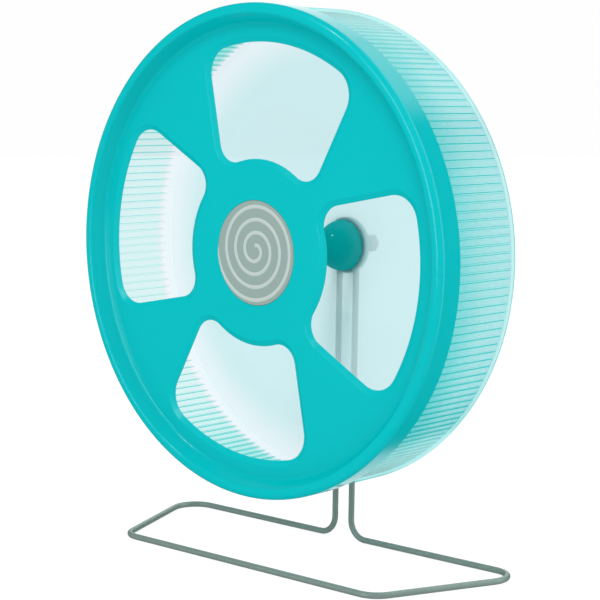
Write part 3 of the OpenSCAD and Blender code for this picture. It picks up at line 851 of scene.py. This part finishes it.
rim_profile = (
    [(WEB_R, 0)]
    + rounded((WEB_R, 0), crease, crest, RIM_FOOT_ROUND, 12)
    + rounded(crease, crest, outer, RIM_EDGE_R, 7)
    + rounded(crest, outer, skirt_end, RIM_OUTER_ROUND, 12)
    + rounded(outer, skirt_end, skirt_mouth, SKIRT_END_ROUND, 4)
    + rounded(skirt_end, skirt_mouth, hollow, SKIRT_MOUTH_ROUND, 2)
    + [hollow, back_crest]
    + rounded(back_crest, back_foot, (WEB_R, PANEL_T), BACK_FOOT_ROUND, 3)
    + [(WEB_R, PANEL_T)]
)
rim = turned("rim", rim_profile, RIM_SEGMENTS, closed=False)
print("rim:", len(rim_profile), "points in its profile")

# %% [markdown]
# The badge sits in a shallow round recess. Its wall is turned like the rim, and its
# floor is one face over the last ring.

# %% Badge recess
RECESS = 0.8 * MM
RECESS_R = BADGE_R + 0.1 * MM
RECESS_LAND = RECESS_R + 1.0 * MM
RECESS_ROUND = 0.3 * MM
SAME_PLACE = 1e-6


def at_level(edge, along):
    """True for an edge that lies flat at one place along the axle."""
    return all(abs(v.co.y - FACE_Y - along) < SAME_PLACE for v in edge.verts)


mouth = rounded((RECESS_LAND, 0), (RECESS_R, 0), (RECESS_R, RECESS), RECESS_ROUND, 4)
recess_profile = [(RECESS_LAND, 0)] + mouth + [(RECESS_R, RECESS)]
recess = turned("recess", recess_profile, 96, closed=False)
make_active(recess)
bpy.ops.object.mode_set(mode="EDIT")
select_where(recess, "edges", lambda e: at_level(e, RECESS))
bpy.ops.mesh.edge_face_add()
bpy.ops.object.mode_set(mode="OBJECT")
print("recess radius", round(RECESS_R, 5))

# %% [markdown]
# Rim, lips and recess now stand apart, as islands. They're joined to one mesh, and
# the flat web between their open loops is filled, once in front and once behind.
# Weighted normals keep the large flat faces flat next to the small round ones.

# %% Join and fill the web
def fill_level(piece, along):
    """Fills the flat area between all open loops that lie at one place along the axle."""
    select_where(piece, "edges", lambda e: e.is_boundary and at_level(e, along))
    bpy.ops.mesh.fill(use_beauty=True)


make_active(rim)
for part in [*lips, recess]:
    part.select_set(True)
bpy.ops.object.join()
panel = bpy.context.object
panel.name = panel.data.name = "front_panel_moulding"
bpy.ops.object.mode_set(mode="EDIT")
fill_level(panel, 0.0)
fill_level(panel, PANEL_T)
bpy.ops.object.mode_set(mode="OBJECT")
face_outwards(panel)
smooth(panel, 40)
add_modifier(panel, "WEIGHTED_NORMAL", mode="FACE_AREA", weight=80, keep_sharp=True)
panel.data.materials.append(turquoise)
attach(panel, "wheel")
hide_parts("front_panel")
print("front panel:", len(panel.data.polygons), "faces")

# %% [markdown]
# ## The drum
#
# The drum is a thin bucket: a running wall, a round rear edge, and a back wall that
# dishes backwards to the hub. All of it is turned from one profile, inside first and
# then back along the outside. Its ring has seven segments for every rib, so that the
# ribs can be pulled out of it in the next step.

# %% Drum profile
RIB_COUNT = 186
SEGMENTS_PER_RIB = 7
RIB_PHASE = math.radians(40.82)
RIB_H = 0.7 * MM
RIB_FRONT = 2.5 * MM
DRUM_R = SKIRT_IN_R + 0.55 * MM
RUN_R = DRUM_R - 1.9 * MM
SPIGOT_R = SKIRT_IN_R - 0.1 * MM
SPIGOT_FRONT = -(RIM_RISE - PANEL_T - 0.5 * MM)
SPIGOT_CHAMFER = 0.2 * MM
DRUM_BACK = 61.2 * MM
BACK_T = 2.0 * MM
INNER_ROUND, OUTER_ROUND, DISH_ROUND = 4.0 * MM, 5.7 * MM, 20 * MM
DISH_R, DISH_STEP = 100 * MM, 0.8 * MM
HUB_Y, HUB_WALL_T = 74.8 * MM, 1.6 * MM
HUB_FLAT_R, HUB_HOLE_R = 17.2 * MM, 5.4 * MM

edge, edge_in = (DRUM_R, DRUM_BACK), (RUN_R, DRUM_BACK - BACK_T)
dish, dish_in = (DISH_R, DRUM_BACK + DISH_STEP), (DISH_R, DRUM_BACK + DISH_STEP - BACK_T)
hub, hub_in = (HUB_FLAT_R, HUB_Y + HUB_WALL_T), (HUB_FLAT_R, HUB_Y)
spigot_start = SPIGOT_FRONT + SPIGOT_CHAMFER
inner_round = rounded((RUN_R, 0), edge_in, dish_in, INNER_ROUND, 14)
drum_profile = (
    [(RUN_R, spigot_start), (RUN_R, RIB_FRONT)]
    + inner_round
    + rounded(edge_in, dish_in, hub_in, DISH_ROUND, 2)
    + [hub_in, (HUB_HOLE_R, HUB_Y), (HUB_HOLE_R, HUB_Y + HUB_WALL_T), hub]
    + rounded(hub, dish, edge, DISH_ROUND, 2)
    + rounded(dish, edge, (DRUM_R, 0), OUTER_ROUND, 9)
    + [(DRUM_R, SKIRT_BACK + 0.1 * MM), (SPIGOT_R, SKIRT_BACK), (SPIGOT_R, spigot_start)]
    + [(SPIGOT_R - SPIGOT_CHAMFER, SPIGOT_FRONT), (RUN_R + SPIGOT_CHAMFER, SPIGOT_FRONT)]
)
drum = turned("drum_moulding", drum_profile, RIB_COUNT * SEGMENTS_PER_RIB, start_angle=RIB_PHASE)
print("drum:", len(drum_profile), "points in its profile")

# %% [markdown]
# The grip ribs run along the axle, so that small feet don't slip. Two segments of
# every seven are extruded at once, and the new faces are moved inwards and drawn
# together a little, as the draft of a mould would leave them. Near the back the
# ribs run out into the round of the wall.

# %% Grip ribs
RIB_DRAFT = 0.5
RIB_BACK = [y for r, y in inner_round if RUN_R - r < RIB_H][-1]


def place_in_ribs(x, z):
    """Where a point lies, counted in ribs, and how far it is off the nearest rib."""
    share = (math.atan2(z, x) - RIB_PHASE) / (2 * math.pi) * RIB_COUNT
    return round(share), share - round(share)


def on_rib(face):
    """True for the faces of the running wall that lie in a rib's two segments."""
    c = face.calc_center_median()
    along = c.y - FACE_Y
    radius = math.hypot(c.x, c.z - AXLE_Z)
    if not RIB_FRONT < along < RIB_BACK or abs(radius - RUN_R) > RIB_H:
        return False
    _, off = place_in_ribs(c.x, c.z - AXLE_Z)
    return abs(off) < 1.0 / SEGMENTS_PER_RIB


make_active(drum)
bpy.ops.object.mode_set(mode="EDIT")
bpy.ops.mesh.select_all(action="SELECT")
bpy.ops.mesh.normals_make_consistent(inside=False)
select_where(drum, "faces", on_rib)
bpy.ops.mesh.extrude_region_move()
bpy.ops.object.mode_set(mode="OBJECT")
rib_tops = [vertex for vertex in drum.data.vertices if vertex.select]
for vertex in rib_tops:
    x, z = vertex.co.x, vertex.co.z - AXLE_Z
    rib, off = place_in_ribs(x, z)
    angle = RIB_PHASE + (rib + off * RIB_DRAFT) * 2 * math.pi / RIB_COUNT
    radius = min(math.hypot(x, z), RUN_R - RIB_H)
    vertex.co.x = radius * math.cos(angle)
    vertex.co.z = AXLE_Z + radius * math.sin(angle)
face_outwards(drum)
print("ribs end at", round(RIB_BACK, 4), "and have", len(rib_tops), "points on top")

# %% [markdown]
# One moulding, six finishes: light meets the outside, the inside, both faces of the
# back wall, the ribs' sides and the round rear edge in different ways. Each face
# gets its finish by where it lies and which way it points.

# %% Drum finishes
OUTER, INNER, BACK_IN, BACK_OUT, RIB_SIDE, REAR_EDGE = range(6)
REAR_EDGE_W = 6 * MM


def drum_finish(face):
    """The finish of one face, by its place and direction."""
    c = face.center
    radius = math.hypot(c.x, c.z - AXLE_Z)
    outwards = (face.normal.x * c.x + face.normal.z * (c.z - AXLE_Z)) / max(radius, MM)
    along = c.y - FACE_Y
    if abs(face.normal.y) > 0.9 and along > RIB_BACK:
        return BACK_IN if face.normal.y < 0 else BACK_OUT
    if face.normal.y > 0.7 and along > DRUM_BACK - REAR_EDGE_W:
        return REAR_EDGE
    if outwards > 0.3:
        return OUTER
    if RIB_FRONT < along < RIB_BACK and abs(outwards) < 0.5 and radius < RUN_R:
        return RIB_SIDE
    return INNER


for finish in (mint_outer, mint_inner, mint_back_in, mint_back_out, mint_rib_side, mint_edge):
    drum.data.materials.append(finish)
for face in drum.data.polygons:
    face.material_index = drum_finish(face)
smooth(drum, 30)
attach(drum, "wheel")
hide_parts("drum")
print("drum:", len(drum.data.polygons), "faces")

# %% [markdown]
# ## The badge
#
# A grey disc closes the middle of the panel. Its edge is rounded a little, as a
# moulded disc's is, so that it catches a thin line of light.

# %% Badge disc
BADGE_FRONT = -0.2 * MM
BADGE_ROUND = 0.35 * MM
front_edge = rounded((BADGE_R, RECESS), (BADGE_R, BADGE_FRONT), (0, BADGE_FRONT), BADGE_ROUND, 5)
badge_profile = [(BADGE_R, RECESS)] + front_edge + [(BADGE_R - 2 * MM, BADGE_FRONT)]
badge = turned("badge_disc", badge_profile, 128, closed=False)
make_active(badge)
bpy.ops.object.mode_set(mode="EDIT")
select_where(badge, "edges", lambda e: e.is_boundary and e.verts[0].co.y < FACE_Y)
bpy.ops.mesh.edge_face_add()
select_where(badge, "edges", lambda e: e.is_boundary)
bpy.ops.mesh.edge_face_add()
bpy.ops.object.mode_set(mode="OBJECT")
face_outwards(badge)
smooth(badge, 40)
badge.data.materials.append(badge_grey)
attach(badge, "wheel")
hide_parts("centre_badge")
print("badge:", len(badge.data.polygons), "faces")

# %% [markdown]
# A plain spiral stands out a little from the disc. A curve follows it turn by turn,
# and its round bevel is flattened onto the disc once it's a mesh. Where its last
# turn would pass the disc's edge, the points are drawn back to the edge.

# %% Badge spiral
SPIRAL_PITCH = 7.4 * MM
SPIRAL_TURNS = 3.75
SPIRAL_START = 2.6 * MM
SPIRAL_RISE = 1.6 * MM
SPIRAL_W = 2.2 * MM
SPIRAL_H = 0.22 * MM
SPIRAL_EDGE_R = BADGE_R - 0.25 * MM
STEPS_PER_TURN = 40


def make_spiral():
    """The raised spiral, as a mesh."""
    line = bpy.data.curves.new("badge_spiral", "CURVE")
    line.dimensions = "3D"
    line.bevel_depth = SPIRAL_W / 2
    line.bevel_resolution = 4
    line.use_fill_caps = True
    count = int(SPIRAL_TURNS * STEPS_PER_TURN) + 1
    path = line.splines.new("POLY")
    path.points.add(count - 1)
    for i in range(count):
        t = 2 * math.pi * i / STEPS_PER_TURN
        r = SPIRAL_START + SPIRAL_PITCH * t / (2 * math.pi)
        path.points[i].co = (r * math.sin(t), 0, SPIRAL_RISE + r * math.cos(t), 1)
    raised = bpy.data.objects.new("badge_spiral", line)
    bpy.context.scene.collection.objects.link(raised)
    make_active(raised)
    bpy.ops.object.convert(target="MESH")
    raised = bpy.context.object
    raised.scale = (1, SPIRAL_H / (SPIRAL_W / 2), 1)
    raised.location = (0, FACE_Y + BADGE_FRONT, AXLE_Z)
    apply_place(raised)
    for vertex in raised.data.vertices:
        reach = math.hypot(vertex.co.x, vertex.co.z - AXLE_Z)
        if reach > SPIRAL_EDGE_R:
            vertex.co.x *= SPIRAL_EDGE_R / reach
            vertex.co.z = AXLE_Z + (vertex.co.z - AXLE_Z) * SPIRAL_EDGE_R / reach
    face_outwards(raised)
    smooth(raised, 50)
    return raised


spiral = make_spiral()
spiral.data.materials.append(badge_line)
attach(spiral, "wheel")
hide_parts("centre_badge")
print("spiral:", len(spiral.data.polygons), "faces")

# %% [markdown]
# ## The wire stand
#
# One steel wire makes both uprights and the floor loop. The bends are true arcs
# between straight runs, so the route is worked out from its corners, and the
# curve's own bevel gives it a round section.

# %% Wire route
WIRE_R = 1.8 * MM
FLOOR_WIRE = WIRE_R - AXLE_Z
UPRIGHT_X = 6.5 * MM
RAIL_Y = 75.7 * MM
LEAN = 4.3 * MM
UPRIGHT_TOP = 8 * MM
FRONT_RAIL_Y = -12.25 * MM
FRONT_HALF = 99.1 * MM
BACK_HALF = 137.4 * MM
CORNER_BEND = 14 * MM
FOOT_BEND = 11 * MM

top_y = RAIL_Y + LEAN * (UPRIGHT_TOP - FLOOR_WIRE) / -FLOOR_WIRE
half_route = [
    (Vector((UPRIGHT_X, top_y, UPRIGHT_TOP)), 0),
    (Vector((UPRIGHT_X, RAIL_Y, FLOOR_WIRE)), FOOT_BEND),
    (Vector((BACK_HALF, RAIL_Y, FLOOR_WIRE)), CORNER_BEND),
    (Vector((FRONT_HALF, FRONT_RAIL_Y, FLOOR_WIRE)), CORNER_BEND),
]
route = half_route + [(Vector((-p.x, p.y, p.z)), r) for p, r in reversed(half_route)]


def bent_points(route, steps=10):
    """The wire's centre line: straight runs with an arc at each corner."""
    points = [route[0][0]]
    for (before, _), (corner, radius), (after, _) in zip(route, route[1:], route[2:]):
        u, v = (before - corner).normalized(), (after - corner).normalized()
        half = u.angle(v) / 2
        centre = corner + (u + v).normalized() * radius / math.sin(half)
        start = corner + u * radius / math.tan(half) - centre
        end = corner + v * radius / math.tan(half) - centre
        axis = start.cross(end).normalized()
        for i in range(steps + 1):
            points.append(centre + Matrix.Rotation(start.angle(end) * i / steps, 3, axis) @ start)
    points.append(route[-1][0])
    return points


def make_wire():
    """The stand's wire, as a mesh."""
    line = bpy.data.curves.new("stand_wire", "CURVE")
    line.dimensions = "3D"
    line.bevel_depth = WIRE_R
    line.bevel_resolution = 8
    line.use_fill_caps = True
    points = bent_points(route)
    path = line.splines.new("POLY")
    path.points.add(len(points) - 1)
    for point, place in zip(path.points, points):
        point.co = (place.x, FACE_Y + place.y, AXLE_Z + place.z, 1)
    wire = bpy.data.objects.new("stand_wire", line)
    bpy.context.scene.collection.objects.link(wire)
    make_active(wire)
    bpy.ops.object.convert(target="MESH")
    wire = bpy.context.object
    face_outwards(wire)
    smooth(wire, 40)
    return wire


wire = make_wire()
wire.data.materials.append(wire_steel)
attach(wire, "stand")
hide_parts("wire_stand")
print("wire:", len(wire.data.polygons), "faces")

# %% [markdown]
# ## Finishes for the pieces that the CAD model already shapes
#
# The dome, the holder, the plate, the bearings and the small fixings already have
# their full shape. They keep their CAD meshes and only get a finish.

# %% Finishes
finishes = {
    "bearing_housing": dark_teal, "axle_holder": mid_teal, "bridge_plate": clear_plate,
    "housing_screws": bright_steel, "axle": bright_steel, "retaining_ring": bright_steel,
    "nut_washer": bright_steel, "end_nut": bright_steel, "rear_bush": cage_brass,
    "front_ball_cage": cage_brass, "rear_ball_cage": cage_brass,
    "front_outer_race": bearing_steel, "rear_outer_race": bearing_steel,
    "front_inner_race": bearing_steel, "rear_inner_race": bearing_steel,
    "outer_race_spacer": bearing_steel, "inner_race_spacer": bearing_steel,
    "bearing_shields": bearing_steel, "front_balls": bearing_steel, "rear_balls": bearing_steel,
}
for name, finish in finishes.items():
    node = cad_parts[name]
    node.data.materials.clear()
    node.data.materials.append(finish)
print("CAD pieces with a finish:", len(finishes))
